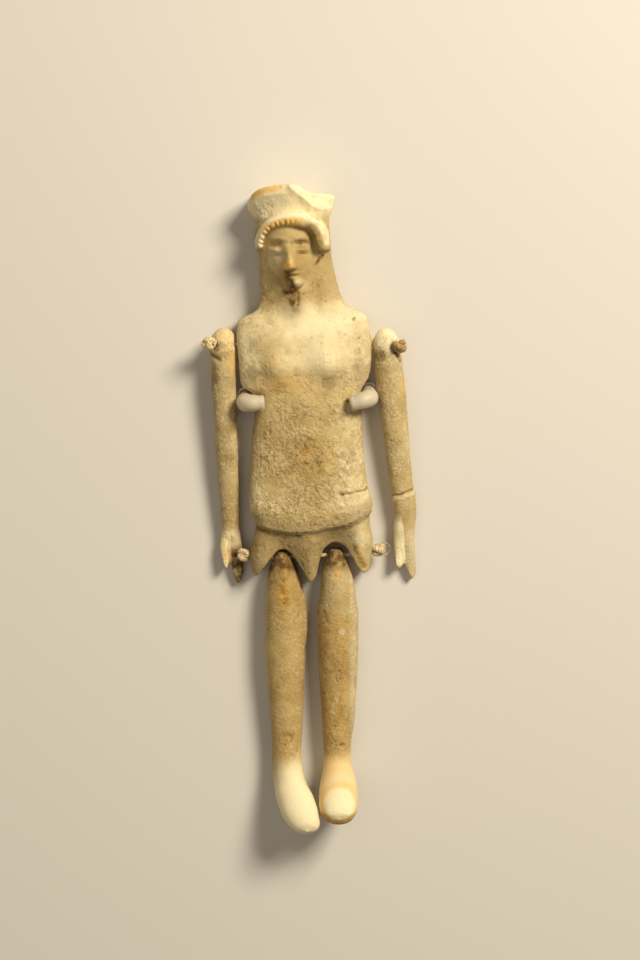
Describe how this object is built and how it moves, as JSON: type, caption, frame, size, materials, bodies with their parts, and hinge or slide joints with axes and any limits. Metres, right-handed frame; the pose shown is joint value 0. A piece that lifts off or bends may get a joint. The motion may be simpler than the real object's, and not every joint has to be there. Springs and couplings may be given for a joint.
{
  "type": "clay jointed doll",
  "caption": "Fired clay doll in a tall cap and short tunic, lying on its back, with strung arms and legs and two padded display pins at the waist.",
  "frame": {"origin": "middle of the doll's outline on the surface it lies on", "axes": "+X to the doll's own left, +Y towards its head, +Z out of its front"},
  "size_m": [0.0526, 0.164, 0.0185],
  "materials": {
    "fired_clay": "buff fired clay with a pale sandy crust and orange worn spots, matt",
    "twine": "undyed twisted natural fibre, matt",
    "pin_wire": "drawn steel wire",
    "soft_sleeve": "milky translucent soft tubing, satin"
  },
  "bodies": {
    "root": {"moulded_body": "fired_clay", "right_arm": "fired_clay", "left_arm": "fired_clay", "right_leg": "fired_clay", "left_leg": "fired_clay", "shoulder_string": "twine", "hip_string": "twine", "pin_right": "pin_wire", "pin_left": "pin_wire", "sleeve_right": "soft_sleeve", "sleeve_left": "soft_sleeve"}
  },
  "joints": []
}
